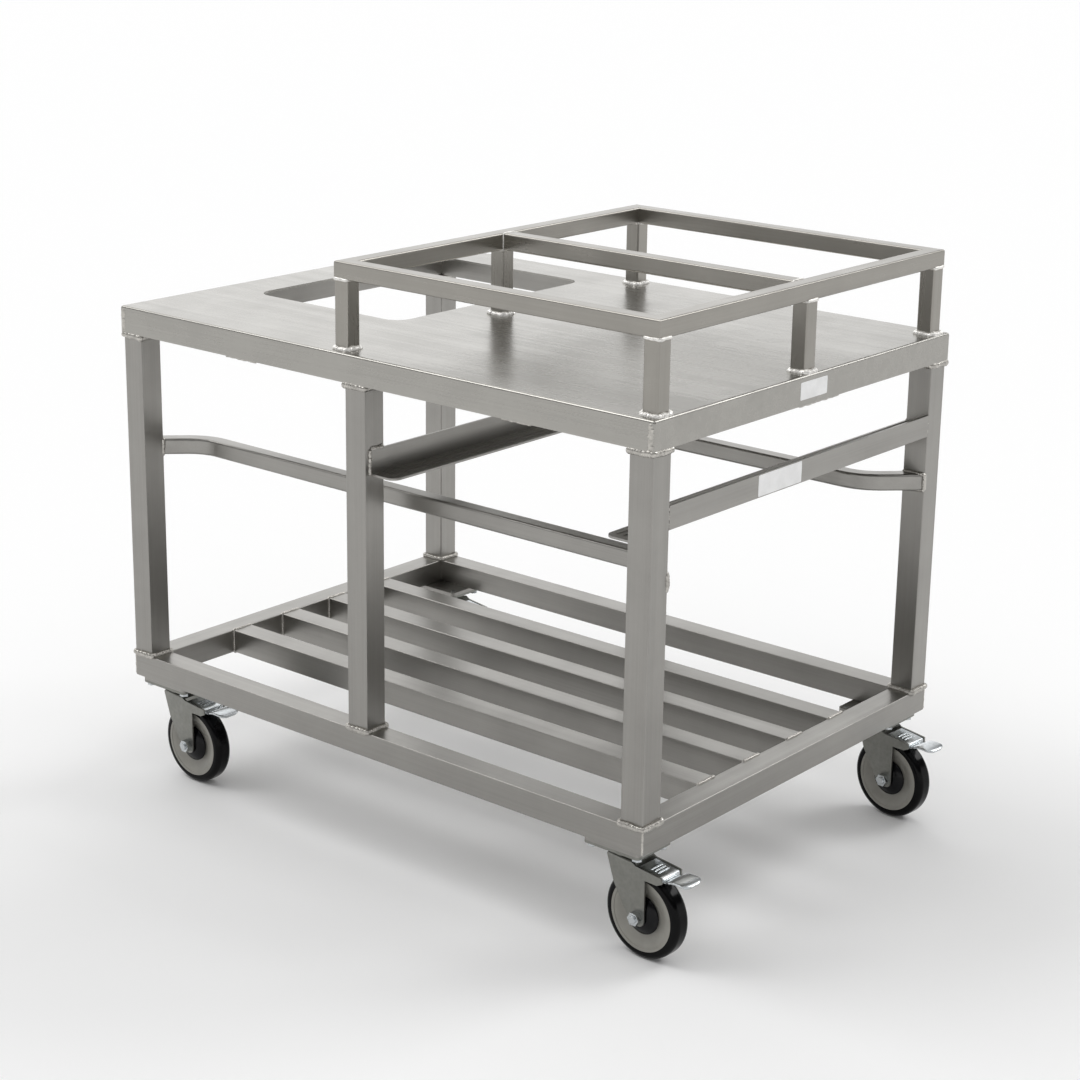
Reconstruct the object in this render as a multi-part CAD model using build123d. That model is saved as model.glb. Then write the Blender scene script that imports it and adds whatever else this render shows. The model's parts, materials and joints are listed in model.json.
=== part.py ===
from build123d import *
import math
import os

# Welded aluminium bus cart: a deck with a cut-out, a pan rack on the deck, two tray ledges,
# two bent guard rails, a slatted base and four swivel casters with foot brakes.
# Millimetres, +Z up. Every piece is built with the frame's front left corner at zero, X to the
# right and Y to the rear, and the whole cart is moved at the end so that the origin is on the
# floor under the middle of its outer box.

# Frame
frame_length = 1016.0
frame_width = 711.2
deck_height = 762.0
tube_size = 38.1
tube_wall = 3.2
tube_corner_radius = 1.6
right_bay_length = 468.0

# Deck sheet, folded down over the deck rails
sheet_thickness = 3.2
sheet_bend_radius = 4.0
sheet_seam_radius = 2.5
cutout_length = 304.8
cutout_width = 431.8
cutout_margin = 76.2
cutout_corner_radius = 28.0

# Slats of the base
slat_count = 4
slat_pitch = 108.7

# Tray ledges and the bar that stops the trays on the right
bar_thickness = 4.8
bar_height = 32.4
bar_underside = 609.6
ledge_thickness = 3.2
ledge_rise = 38.1
ledge_reach = 46.0
ledge_underside = 589.6
ledge_end_inset = 10.0
ledge_tip_radius = 14.0
ledge_rib_count = 3
ledge_rib_width = 3.0
ledge_rib_height = 0.8

# Guard rails
guard_size = 25.4
guard_wall = 2.0
guard_corner_radius = 4.0
guard_top = 551.0
guard_run_inset = 94.0
guard_bend_radius = 75.0
guard_splay = 45.0

# Pan rack on the deck
rack_tube_size = 25.4
rack_tube_wall = 2.0
rack_corner_radius = 3.0
rack_well_length = 520.7
rack_well_width = 304.8
rack_post_height = 100.0
rack_right_inset = 4.8

# Casters
wheel_radius = 63.5
wheel_width = 28.0
tread_thickness = 11.5
tread_shoulder_radius = 8.0
caster_height = 158.0
caster_trail = 38.0
caster_inset_x = 57.3
caster_inset_y = 42.0
pad_thickness = 6.0
plate_thickness = 4.0
plate_length = 95.0
plate_width = 75.0
plate_corner_radius = 6.0
bolt_spacing_x = 76.0
bolt_spacing_y = 54.0
bolt_radius = 4.0
bolt_head_height = 5.3
bolt_head_flats = 13.0
bolt_hole_clearance = 0.5
race_radius = 27.0
race_chamfer = 2.5
lower_race_radius = 18.5
lower_race_taper = 2.0
race_gap = 0.3
fork_height = 142.0
fork_thickness = 3.0
fork_bend_radius = 3.5
kingpin_radius = 6.0
kingpin_head_radius = 10.0
kingpin_head_height = 4.0
kingpin_head_chamfer = 1.5
running_clearance = 0.05
side_clearance = 0.3
axle_radius = 5.0
axle_nut_flats = 17.0
axle_nut_height = 9.0
axle_head_height = 6.5
axle_end_length = 2.5
hub_radius = 9.2
web_half_width = 9.0
web_slope_width = 12.0
rim_thickness = 8.0
guard_disc_radius = 28.0
guard_disc_edge = 2.0
guard_disc_clearance = 1.0
guard_disc_bulge = 1.5
guard_dome_slopes = 3

# Fork outline: how far each corner lies behind the swivel axis, and its height
fork_front_reach = 21.7
fork_shin_x = -6.4
fork_shin_z = 101.0
fork_crease_x = 27.0
fork_half_width = 22.0
fork_front_half_width = 18.0
fork_foot_front = 17.5
fork_foot_rear = 12.0
fork_foot_depth = 12.3
fork_foot_radius = 9.0
fork_foot_taper = 2.0
arm_underside = 121.0
arm_reach = 78.7
arm_tip_height = 133.3
arm_tip_depth = 8.0
crown_rear = 34.0
crown_drop = 4.6

# Brake pedal, which rocks on two trunnions in the fork's arms
pedal_thickness = 2.5
pedal_pivot_x = 57.0
pedal_pivot_drop = 5.2
pedal_boss_radius = 4.0
trunnion_radius = 3.0
trunnion_length = 1.5
shoe_x = 64.0
shoe_underside = 123.5
tail_dip_x = 83.0
tail_dip_height = 129.0
tail_crest_x = 97.0
tail_height = 133.6
tail_reach = 118.5
tail_half_width = 20.0
tail_thickness = 4.0
tail_tip_radius = 10.0
emboss_length = 24.0
emboss_width = 22.0
emboss_height = 1.6

# The way each caster is turned about its swivel axis, in degrees
caster_turns = {"front_left": -1.2, "front_right": -2.3, "rear_left": -3.0, "rear_right": -5.5}

# Heights and places that follow from the sizes above
base_underside = caster_height + pad_thickness
base_top = base_underside + tube_size
deck_rail_top = deck_height - sheet_thickness
deck_rail_underside = deck_rail_top - tube_size
post_length = deck_rail_underside - base_top
middle_post_x = frame_length - 2 * tube_size - right_bay_length
right_post_x = frame_length - tube_size
rear_post_y = frame_width - tube_size
rack_length = rack_well_length + 2 * rack_tube_size
rack_width = 2 * rack_well_width + 3 * rack_tube_size
rack_x = frame_length - rack_right_inset - rack_length
rack_y = (frame_width - rack_width) / 2
rack_rail_underside = deck_height + rack_post_height
core_radius = wheel_radius - tread_thickness
hub_half_length = fork_half_width - fork_thickness - side_clearance


def place(shape, x, y, z):
    """The shape moved by x, y and z."""
    return Pos(x, y, z) * shape


def box(x0, x1, y0, y1, z0, z1):
    """A block between two corners."""
    return place(Box(x1 - x0, y1 - y0, z1 - z0, align=(Align.MIN, Align.MIN, Align.MIN)), x0, y0, z0)


def tube_section(size, wall, corner_radius):
    """Square tube in section, round outside and sharp inside."""
    return RectangleRounded(size, size, corner_radius) - Rectangle(size - 2 * wall, size - 2 * wall)


def tube_x(length, size, wall, corner_radius):
    """Square tube along X, from zero, with its low corner at zero."""
    section = Plane.YZ * Pos(size / 2, size / 2) * tube_section(size, wall, corner_radius)
    return extrude(section, length)


def tube_y(length, size, wall, corner_radius):
    """Square tube along Y, from zero, with its low corner at zero."""
    section = Plane.XZ * Pos(size / 2, size / 2) * tube_section(size, wall, corner_radius)
    return extrude(section, -length)


def tube_z(length, size, wall, corner_radius):
    """Square tube standing on zero, with its low corner at zero."""
    return extrude(Pos(size / 2, size / 2) * tube_section(size, wall, corner_radius), length)


def mitre_x(length, size):
    """Prism that cuts both ends of a front rail at 45 degrees."""
    outline = Polygon((0, 0), (length, 0), (length - size, size), (size, size), align=None)
    return extrude(outline, size)


def mitre_y(length, size):
    """Prism that cuts both ends of a left rail at 45 degrees."""
    outline = Polygon((0, 0), (size, size), (size, length - size), (0, length), align=None)
    return extrude(outline, size)


def mitred_frame(length, width, size, wall, corner_radius):
    """Front, rear, left and right tubes of a flat frame with mitred corners."""
    front = tube_x(length, size, wall, corner_radius) & mitre_x(length, size)
    left = tube_y(width, size, wall, corner_radius) & mitre_y(width, size)
    rear = place(mirror(front, Plane.XZ), 0, width, 0)
    right = place(mirror(left, Plane.YZ), length, 0, 0)
    return {"front": front, "rear": rear, "left": left, "right": right}


def deck_sheet():
    """Deck folded down on four sides, its corners welded and ground, with the cut-out."""
    low = -sheet_thickness
    right = frame_length + sheet_thickness
    rear = frame_width + sheet_thickness
    sheet = box(low, right, low, rear, deck_rail_underside, deck_height)
    sheet = fillet(sheet.edges().filter_by(Axis.Z), sheet_seam_radius)
    sheet = fillet(sheet.faces().sort_by(Axis.Z)[-1].edges(), sheet_bend_radius)
    sheet -= box(0, frame_length, 0, frame_width, deck_rail_underside, deck_rail_top)
    hole = extrude(RectangleRounded(cutout_length, cutout_width, cutout_corner_radius), 2 * tube_size)
    hole_x = cutout_margin + cutout_length / 2
    hole_y = frame_width - cutout_margin - cutout_width / 2
    return sheet - place(hole, hole_x, hole_y, deck_rail_top - tube_size)


def posts():
    """Six posts between the base frame and the deck frame."""
    post = tube_z(post_length, tube_size, tube_wall, tube_corner_radius)
    columns = {"left": 0, "middle": middle_post_x, "right": right_post_x}
    rows = {"front": 0, "rear": rear_post_y}
    return {
        f"post_{row}_{column}": place(post, x, y, base_top)
        for row, y in rows.items()
        for column, x in columns.items()
    }


def base_slats():
    """Tubes across the base, between the left and right base rails."""
    slat = tube_x(frame_length - 2 * tube_size, tube_size, tube_wall, tube_corner_radius)
    first_y = (frame_width - (slat_count - 1) * slat_pitch - tube_size) / 2
    return {
        f"base_slat_{i + 1}": place(slat, tube_size, first_y + i * slat_pitch, base_underside)
        for i in range(slat_count)
    }


def tray_stop_bar():
    """Flat bar between the right posts, flush with their outer faces."""
    left = frame_length - bar_thickness
    top = bar_underside + bar_height
    return box(left, frame_length, tube_size, rear_post_y, bar_underside, top)


def tray_ledge_left():
    """Angle on the right faces of the middle posts, open side up, with ribs along its shelf."""
    wall_x = middle_post_x + tube_size
    length = frame_width - 2 * ledge_end_inset
    shelf = place(
        Box(ledge_reach, length, ledge_thickness, align=(Align.MIN, Align.MIN, Align.MIN)),
        wall_x, ledge_end_inset, ledge_underside,
    )
    tips = shelf.edges().filter_by(Axis.Z).group_by(Axis.X)[-1]
    shelf = fillet(tips, ledge_tip_radius)
    leg = box(wall_x, wall_x + ledge_thickness, ledge_end_inset, ledge_end_inset + length,
              ledge_underside, ledge_underside + ledge_rise)
    ledge = shelf + leg
    shelf_top = ledge_underside + ledge_thickness
    rib_pitch = (ledge_reach - ledge_thickness) / (ledge_rib_count + 1)
    for i in range(ledge_rib_count):
        rib_x = wall_x + ledge_thickness + (i + 1) * rib_pitch
        ledge += box(rib_x - ledge_rib_width / 2, rib_x + ledge_rib_width / 2,
                     ledge_end_inset + ledge_tip_radius, ledge_end_inset + length - ledge_tip_radius,
                     shelf_top, shelf_top + ledge_rib_height)
    return ledge


def tray_ledge_right():
    """The left ledge mirrored about the middle of the right bay."""
    bay_middle = (middle_post_x + tube_size + right_post_x) / 2
    return place(mirror(place(tray_ledge_left(), -bay_middle, 0, 0), Plane.YZ), bay_middle, 0, 0)


def guard_rail_front():
    """Bent tube behind the front posts: a long run whose ends splay out to the corner posts."""
    end_x = tube_size / 2
    offset = guard_run_inset - tube_size
    splay = math.radians(guard_splay)
    corner_x = end_x + offset / math.tan(splay)
    stub = guard_size * math.cos(splay)
    start = (end_x - stub, tube_size - stub * math.tan(splay))
    points = [
        start,
        (corner_x, guard_run_inset),
        (frame_length - corner_x, guard_run_inset),
        (frame_length - start[0], start[1]),
    ]
    path = FilletPolyline(*points, radius=guard_bend_radius)
    centre_z = guard_top - guard_size / 2
    outside = RectangleRounded(guard_size, guard_size, guard_corner_radius)
    inside_size = guard_size - 2 * guard_wall
    inside = Rectangle(inside_size, inside_size)
    start_plane = Plane(origin=path @ 0, x_dir=(0, 0, 1), z_dir=path % 0)
    rail = sweep(start_plane * outside, path) - sweep(start_plane * inside, path)
    rail = place(rail, 0, 0, centre_z)
    kept = box(0, frame_length, tube_size, frame_width, guard_top - 2 * guard_size, guard_top + guard_size)
    return rail & kept


def guard_rail_rear():
    """The front guard rail mirrored to the rear posts."""
    return place(mirror(guard_rail_front(), Plane.XZ), 0, frame_width, 0)


def rack_rails():
    """Mitred frame of the pan rack and the rail between its two wells."""
    frame = mitred_frame(rack_length, rack_width, rack_tube_size, rack_tube_wall, rack_corner_radius)
    frame["middle"] = place(
        tube_x(rack_well_length, rack_tube_size, rack_tube_wall, rack_corner_radius),
        rack_tube_size, rack_tube_size + rack_well_width, 0,
    )
    return {
        f"rack_rail_{side}": place(rail, rack_x, rack_y, rack_rail_underside)
        for side, rail in frame.items()
    }


def rack_posts():
    """Six short posts between the deck and the pan rack."""
    post = tube_z(rack_post_height, rack_tube_size, rack_tube_wall, rack_corner_radius)
    row_pitch = rack_well_width + rack_tube_size
    return Compound(children=[
        place(post, x, rack_y + row * row_pitch, deck_height)
        for x in (rack_x, rack_x + rack_length - rack_tube_size)
        for row in range(3)
    ])


def bolt_places():
    """The four bolts of a caster plate, about its swivel axis."""
    return GridLocations(bolt_spacing_x, bolt_spacing_y, 2, 2)


def hexagon(flats):
    """Hexagon with the given width over its flats."""
    return RegularPolygon(flats / math.sqrt(3), 6)


def plate_blank(thickness, hole_radius):
    """Flat plate with four bolt holes, its underside at zero."""
    outline = RectangleRounded(plate_length, plate_width, plate_corner_radius)
    holes = Sketch() + [place_2d * Circle(hole_radius) for place_2d in bolt_places()]
    return extrude(outline - holes, thickness)


def mount_pad():
    """Plate welded under a corner of the base, tapped for the caster's bolts."""
    return place(plate_blank(pad_thickness, bolt_radius), 0, 0, caster_height)


def caster_bolt():
    """Hexagon bolt from below, its shank level with the top of the mount pad."""
    head = extrude(hexagon(bolt_head_flats), bolt_head_height)
    shank = Cylinder(bolt_radius, bolt_head_height + plate_thickness + pad_thickness,
                     align=(Align.CENTER, Align.CENTER, Align.MIN))
    return place(head + shank, 0, 0, caster_height - plate_thickness - bolt_head_height)


def caster_plate():
    """Top plate with its turned upper race and the riveted kingpin that carries the fork."""
    underside = caster_height - plate_thickness
    race_low = fork_height + (underside - fork_height - race_gap) / 2 + race_gap
    crown_low = fork_height - fork_thickness
    head_top = crown_low - side_clearance
    head_low = head_top - kingpin_head_height
    plate = place(plate_blank(plate_thickness, bolt_radius + bolt_hole_clearance), 0, 0, underside)
    half = Polygon(
        (0, head_low), (kingpin_head_radius - kingpin_head_chamfer, head_low),
        (kingpin_head_radius, head_low + kingpin_head_chamfer), (kingpin_head_radius, head_top),
        (kingpin_radius, head_top), (kingpin_radius, race_low), (race_radius - race_chamfer, race_low),
        (race_radius, race_low + race_chamfer), (race_radius, underside),
        (0, underside), align=None,
    )
    return plate + revolve(Plane.XZ * half, Axis.Z)


def fork_outline():
    """Side view of the fork: crown, leg down to the axle and arm out to the brake."""
    axle_z = wheel_radius
    foot_low = axle_z - fork_foot_depth
    leg_rear = caster_trail + fork_foot_rear
    outline = Polygon(
        (-fork_front_reach, fork_height),
        (fork_shin_x, fork_shin_z),
        (caster_trail - fork_foot_front, axle_z - fork_foot_taper),
        (caster_trail - fork_foot_rear + fork_foot_taper, foot_low),
        (leg_rear, foot_low),
        (leg_rear, arm_underside),
        (arm_reach - arm_tip_depth, arm_underside),
        (arm_reach, arm_underside + arm_tip_depth / 2),
        (arm_reach, arm_tip_height),
        (crown_rear, fork_height - crown_drop),
        (crown_rear - 2 * crown_drop, fork_height),
        align=None,
    )
    foot = outline.vertices().group_by(Axis.Y)[0]
    outline = fillet(foot, fork_foot_radius)
    return Plane.XZ * outline


def leg_plan(thickness):
    """Plan of the fork inside the given thickness: straight at the rear, narrower at the front."""
    front = fork_front_half_width - thickness
    rear = fork_half_width - thickness
    return Polygon(
        (-fork_front_reach, -front), (fork_crease_x, -rear), (arm_reach, -rear),
        (arm_reach, rear), (fork_crease_x, rear), (-fork_front_reach, front), align=None,
    )


def fork():
    """Pressed fork: a crown with the lower race, two creased legs and two brake arms."""
    body = extrude(leg_plan(0), fork_height) & extrude(fork_outline(), fork_half_width, both=True)
    body = fillet(body.faces().sort_by(Axis.Z)[-1].edges(), fork_bend_radius)
    body -= extrude(leg_plan(fork_thickness), fork_height - fork_thickness)
    inner_half = fork_half_width - fork_thickness
    body -= box(crown_rear, arm_reach, -inner_half, inner_half, arm_underside, fork_height)
    race_high = fork_height + (caster_height - plate_thickness - fork_height - race_gap) / 2
    race = Polygon((0, fork_height), (lower_race_radius, fork_height),
                   (lower_race_radius - lower_race_taper, race_high), (0, race_high), align=None)
    body += revolve(Plane.XZ * race, Axis.Z)
    body -= Cylinder(kingpin_radius + running_clearance, 4 * fork_height)
    axle_hole = Plane.XZ * Pos(caster_trail, wheel_radius) * Circle(axle_radius + running_clearance)
    body -= extrude(axle_hole, 2 * fork_half_width, both=True)
    bearing = Plane.XZ * Pos(pedal_pivot_x, pedal_pivot_z()) * Circle(trunnion_radius + running_clearance)
    return body - extrude(bearing, inner_half + trunnion_length + side_clearance, both=True)


def arm_slope():
    """Fall of the arm's top edge for each millimetre towards its tip."""
    return (fork_height - crown_drop - arm_tip_height) / (arm_reach - crown_rear)


def pedal_top_z(x):
    """Height of the pedal's top face, level with the top edges of the arms."""
    return fork_height - crown_drop - (x - crown_rear) * arm_slope() - side_clearance


def pedal_pivot_z():
    """Height of the pedal's trunnions, under its top face."""
    return pedal_top_z(pedal_pivot_x) - pedal_pivot_drop


def pedal_tail(neck_x, neck_half_width):
    """Tail of the pedal: a neck that dips behind the arms, and a wide foot plate that rises again."""
    top = [
        (neck_x, tail_dip_height), (tail_dip_x, tail_dip_height),
        (tail_crest_x, tail_height), (tail_reach, tail_height),
    ]
    underside = [(x, z - tail_thickness) for x, z in reversed(top)]
    outline = Plane.XZ * Polygon(*top, *underside, align=None)
    neck = extrude(outline, neck_half_width, both=True)
    behind = box(tail_dip_x, tail_reach, -tail_half_width, tail_half_width, 0, fork_height)
    plate = extrude(outline, tail_half_width, both=True) & behind
    tips = plate.edges().filter_by(Axis.Z).group_by(Axis.X)[-1]
    return neck + fillet(tips, tail_tip_radius)


def brake_pedal():
    """Foot brake: a release pad between the arms, a shoe over the tread and a tail to tread on."""
    half_width = fork_half_width - fork_thickness - side_clearance
    pad_front = crown_rear + pedal_thickness
    pad_rear = arm_reach - side_clearance
    web_front = pad_rear - pedal_thickness
    shoe_rear = shoe_x + pedal_thickness
    outline = Polygon(
        (pad_front, pedal_top_z(pad_front)),
        (pad_front, pedal_top_z(pad_front) - pedal_thickness),
        (shoe_x, pedal_top_z(shoe_x) - pedal_thickness),
        (shoe_x, shoe_underside),
        (shoe_rear, shoe_underside),
        (shoe_rear, pedal_top_z(shoe_rear) - pedal_thickness),
        (web_front, pedal_top_z(web_front) - pedal_thickness),
        (web_front, tail_dip_height - tail_thickness),
        (pad_rear, tail_dip_height - tail_thickness),
        (pad_rear, pedal_top_z(pad_rear)),
        align=None,
    )
    pedal = extrude(Plane.XZ * outline, half_width, both=True) + pedal_tail(web_front, half_width)
    boss = Plane.XZ * Pos(pedal_pivot_x, pedal_pivot_z())
    pedal += extrude(boss * Circle(pedal_boss_radius), half_width, both=True)
    pedal += extrude(boss * Circle(trunnion_radius), half_width + side_clearance + trunnion_length, both=True)
    emboss_x = (pad_front + pad_rear) / 2
    lift = Pos(emboss_x, 0, pedal_top_z(emboss_x)) * Rot(0, math.degrees(math.atan(arm_slope())), 0)
    bar_step = emboss_length / 4
    for i in (-1, 0, 1):
        ridge = Box(bar_step / 2, emboss_width, 2 * emboss_height)
        pedal += lift * Pos(i * bar_step, 0, 0) * ridge
    return pedal


def axle():
    """Axle bolt with its head on one side and a locking nut on the other, as two solids."""
    span = 2 * fork_half_width
    shank_length = span + axle_nut_height + axle_end_length
    shank = Cylinder(axle_radius, shank_length, align=(Align.CENTER, Align.CENTER, Align.MIN))
    head = place(extrude(hexagon(axle_nut_flats), axle_head_height), 0, 0, -axle_head_height)
    nut = place(extrude(hexagon(axle_nut_flats) - Circle(axle_radius), axle_nut_height), 0, 0, span)
    lying = Pos(caster_trail, fork_half_width, wheel_radius) * Rot(90, 0, 0)
    return Compound(children=[lying * (head + shank), lying * nut])


def on_axle(half_section):
    """The section, drawn as radius and side, turned about the wheel's axle."""
    turned = revolve(Plane.XY * half_section, Axis.Y)
    return place(turned, caster_trail, 0, wheel_radius)


def wheel_core():
    """Grey hub, web and rim, moulded in one."""
    bore = axle_radius + running_clearance
    rim_inner = core_radius - rim_thickness
    half_width = wheel_width / 2
    side = [
        (bore, hub_half_length), (hub_radius, hub_half_length), (hub_radius, web_half_width),
        (rim_inner - web_slope_width, web_half_width), (rim_inner, half_width), (core_radius, half_width),
    ]
    other_side = [(radius, -across) for radius, across in reversed(side)]
    return on_axle(Polygon(*side, *other_side, align=None))


def tread():
    """Tyre bonded to the core, with rounded shoulders."""
    section = Pos(wheel_radius - tread_thickness / 2, 0) * Rectangle(tread_thickness, wheel_width)
    shoulders = section.vertices().group_by(Axis.X)[-1]
    return on_axle(fillet(shoulders, tread_shoulder_radius))


def thread_guards():
    """Two domed discs that keep thread out of the hub, one on each side."""
    crest = hub_half_length - guard_disc_clearance
    edge = web_half_width + guard_disc_edge
    dome = ThreePointArc(
        (hub_radius, crest),
        ((hub_radius + guard_disc_radius) / 2, (crest + edge) / 2 + guard_disc_bulge),
        (guard_disc_radius, edge),
    )
    slopes = [dome @ (i / guard_dome_slopes) for i in range(guard_dome_slopes + 1)]
    disc = on_axle(Polygon(
        *[(point.X, point.Y) for point in slopes],
        (guard_disc_radius, web_half_width), (hub_radius, web_half_width), align=None,
    ))
    return Compound(children=[disc, mirror(disc, Plane.XZ)])


def caster_stations():
    """Each corner's caster: where its swivel axis stands and how far it is turned."""
    left = caster_inset_x
    right = frame_length - caster_inset_x
    front = caster_inset_y
    rear = frame_width - caster_inset_y
    axes = {
        "front_left": (left, front),
        "front_right": (right, front),
        "rear_left": (left, rear),
        "rear_right": (right, rear),
    }
    return {
        corner: Pos(x, y, 0) * Rot(0, 0, caster_turns[corner])
        for corner, (x, y) in axes.items()
    }


def square_on(station):
    """The station without its turn, for what is bolted square to the frame."""
    return Pos(station.position)


def casters():
    """The nodes of the four casters, with their pads and bolts."""
    stations = caster_stations()
    turning = {
        "fork": fork(), "axle": axle(), "brake_pedal": brake_pedal(),
        "wheel_core": wheel_core(), "tread": tread(), "thread_guards": thread_guards(),
    }
    nodes = {}
    for corner, station in stations.items():
        nodes[f"caster_{corner}_plate"] = square_on(station) * caster_plate()
        for piece, shape in turning.items():
            nodes[f"caster_{corner}_{piece}"] = station * shape
    bolt = caster_bolt()
    pad = mount_pad()
    nodes["caster_bolts"] = Compound(children=[
        square_on(station) * spot * bolt for station in stations.values() for spot in bolt_places()
    ])
    nodes["caster_mount_pads"] = Compound(children=[square_on(s) * pad for s in stations.values()])
    return nodes


def cart():
    """Every node of the cart by name, before it is moved to the origin."""
    nodes = {"deck_sheet": deck_sheet()}
    tubes = mitred_frame(frame_length, frame_width, tube_size, tube_wall, tube_corner_radius)
    for side, rail in tubes.items():
        nodes[f"deck_rail_{side}"] = place(rail, 0, 0, deck_rail_underside)
        nodes[f"base_rail_{side}"] = place(rail, 0, 0, base_underside)
    nodes.update(posts())
    nodes.update(base_slats())
    nodes["tray_stop_bar"] = tray_stop_bar()
    nodes["tray_ledge_left"] = tray_ledge_left()
    nodes["tray_ledge_right"] = tray_ledge_right()
    nodes["guard_rail_front"] = guard_rail_front()
    nodes["guard_rail_rear"] = guard_rail_rear()
    nodes.update(rack_rails())
    nodes["rack_posts"] = rack_posts()
    nodes.update(casters())
    return nodes


nodes = cart()
boxes = [shape.bounding_box() for shape in nodes.values()]
middle_x = (min(b.min.X for b in boxes) + max(b.max.X for b in boxes)) / 2
middle_y = (min(b.min.Y for b in boxes) + max(b.max.Y for b in boxes)) / 2
to_origin = Pos(-middle_x, -middle_y, 0)

os.makedirs("parts", exist_ok=True)
for name, shape in nodes.items():
    export_step(to_origin * shape, f"parts/{name}.step")
print(len(nodes), "nodes, frame corner at", round(-middle_x, 3), round(-middle_y, 3))
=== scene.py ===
import json
import math

import bmesh
import bpy
import numpy as np
from bpy.props import FloatProperty, FloatVectorProperty, IntProperty, PointerProperty
from bpy.types import Operator, Panel, PropertyGroup
from mathutils import Matrix, Vector


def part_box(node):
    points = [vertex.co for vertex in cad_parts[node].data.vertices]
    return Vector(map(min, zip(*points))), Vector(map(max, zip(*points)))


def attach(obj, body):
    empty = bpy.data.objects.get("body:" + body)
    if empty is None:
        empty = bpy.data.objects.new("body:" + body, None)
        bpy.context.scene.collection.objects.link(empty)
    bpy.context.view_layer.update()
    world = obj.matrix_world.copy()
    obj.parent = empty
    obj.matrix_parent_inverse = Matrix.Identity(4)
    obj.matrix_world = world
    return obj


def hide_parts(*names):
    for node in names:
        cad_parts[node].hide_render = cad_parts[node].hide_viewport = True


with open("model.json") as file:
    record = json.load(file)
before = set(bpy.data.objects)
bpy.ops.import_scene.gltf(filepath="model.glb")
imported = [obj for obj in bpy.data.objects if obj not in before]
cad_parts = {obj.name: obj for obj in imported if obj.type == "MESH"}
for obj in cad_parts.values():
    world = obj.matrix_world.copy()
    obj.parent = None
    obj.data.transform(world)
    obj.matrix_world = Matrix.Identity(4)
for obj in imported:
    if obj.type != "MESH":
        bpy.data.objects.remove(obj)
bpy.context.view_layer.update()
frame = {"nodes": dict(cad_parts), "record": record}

bl_info = {
    "name": "Welded Bus Cart",
    "version": (1, 0, 0),
    "blender": (4, 5, 0),
    "location": "View3D > Sidebar > Bus Cart",
    "description": "Finishes a welded aluminium bus cart: welds, wheels, brake pedals, labels and stage",
    "category": "Object",
}

CART = "cart_frame"
CORNERS = ("front_left", "front_right", "rear_left", "rear_right")
CASTER_FINISHES = {
    "plate": "satin_zinc_plate",
    "fork": "satin_zinc_plate",
    "axle": "bright_zinc_plate",
    "brake_pedal": "bright_zinc_plate",
    "wheel_core": "grey_polyolefin",
    "tread": "black_polyurethane",
    "thread_guards": "black_nylon",
}

# Short stitch welds under the deck's edge, in metres from the frame's front left corner
FRONT_STITCHES = ((0.229, 0.293), (0.763, 0.815))
SIDE_STITCH = (0.323, 0.422)

# Blank labels on the right side: distance from the front, width and height in metres
DECK_LABEL = (0.3555, 0.065, 0.0251)
BAR_LABEL = (0.2875, 0.103, 0.030)

# Sockets of a mix node by place, since those for numbers and those for colours share their names
FACTOR, NUMBER_A, NUMBER_B, COLOUR_A, COLOUR_B = 0, 2, 3, 6, 7
NUMBER_RESULT, COLOUR_RESULT = 0, 2


def linear(code):
    """Linear colour, with alpha 1, of an sRGB hex code: a straight line near black, a power above."""
    srgb = np.array([int(code[i:i + 2], 16) for i in (1, 3, 5)]) / 255
    low = srgb / 12.92
    high = ((srgb + 0.055) / 1.055) ** 2.4
    return (*np.where(srgb <= 0.04045, low, high), 1.0)


def colour_property(name, description, code):
    """Colour setting whose default is an sRGB hex code."""
    return FloatVectorProperty(
        name=name, description=description, subtype="COLOR", size=4, min=0, max=1, default=linear(code)
    )


def length_property(name, description, millimetres):
    """Length setting whose default is given in millimetres."""
    return FloatProperty(name=name, description=description, unit="LENGTH", default=millimetres / 1000)


def section_property(name, description, stand_off, half_width):
    """Size of a bead's section: how far it stands off the wall and half its width, in millimetres."""
    return FloatVectorProperty(
        name=name, description=description, unit="LENGTH", size=2,
        default=(stand_off / 1000, half_width / 1000)
    )


def angle_property(name, description, degrees):
    """Angle setting whose default is given in degrees."""
    radians = math.radians(degrees)
    return FloatProperty(name=name, description=description, subtype="ANGLE", default=radians)


class CART_PG_welds(PropertyGroup):
    """Sizes of the weld beads."""

    post: section_property("Post bead", "Bead round the end of a post", 4.6, 5.0)
    rack_foot: section_property("Rack foot bead", "Bead round the foot of a rack post", 6.2, 5.4)
    rack_head: section_property("Rack head bead", "Bead round the head of a rack post", 2.4, 2.6)
    slat: section_property("Slat bead", "Bead round the end of a slat", 2.6, 2.8)
    fitting: section_property("Fitting bead", "Bead on a ledge, bar or guard rail", 3.4, 3.8)
    seam: section_property("Deck seam", "Seam on a folded corner of the deck", 2.4, 4.8)
    mitre: section_property("Mitre seam", "Ground seam on a corner of the base", 0.7, 1.5)
    stitch: section_property("Stitch", "Short bead under the deck's edge", 2.2, 2.4)
    ripple_pitch: length_property("Ripple pitch", "Distance from one frozen ripple to the next", 3.8)
    ripple_depth: FloatProperty(
        name="Ripple depth", description="Height of a ripple, as a share of the bead's size", default=0.30
    )
    wander: FloatProperty(
        name="Wander", description="Slow growing and straying, as a share of the bead's size", default=0.05
    )
    step: length_property("Step", "Distance between the rings of vertices along a bead", 0.7)
    sides: IntProperty(name="Sides", description="Vertices round a bead", default=12, min=6)


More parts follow.
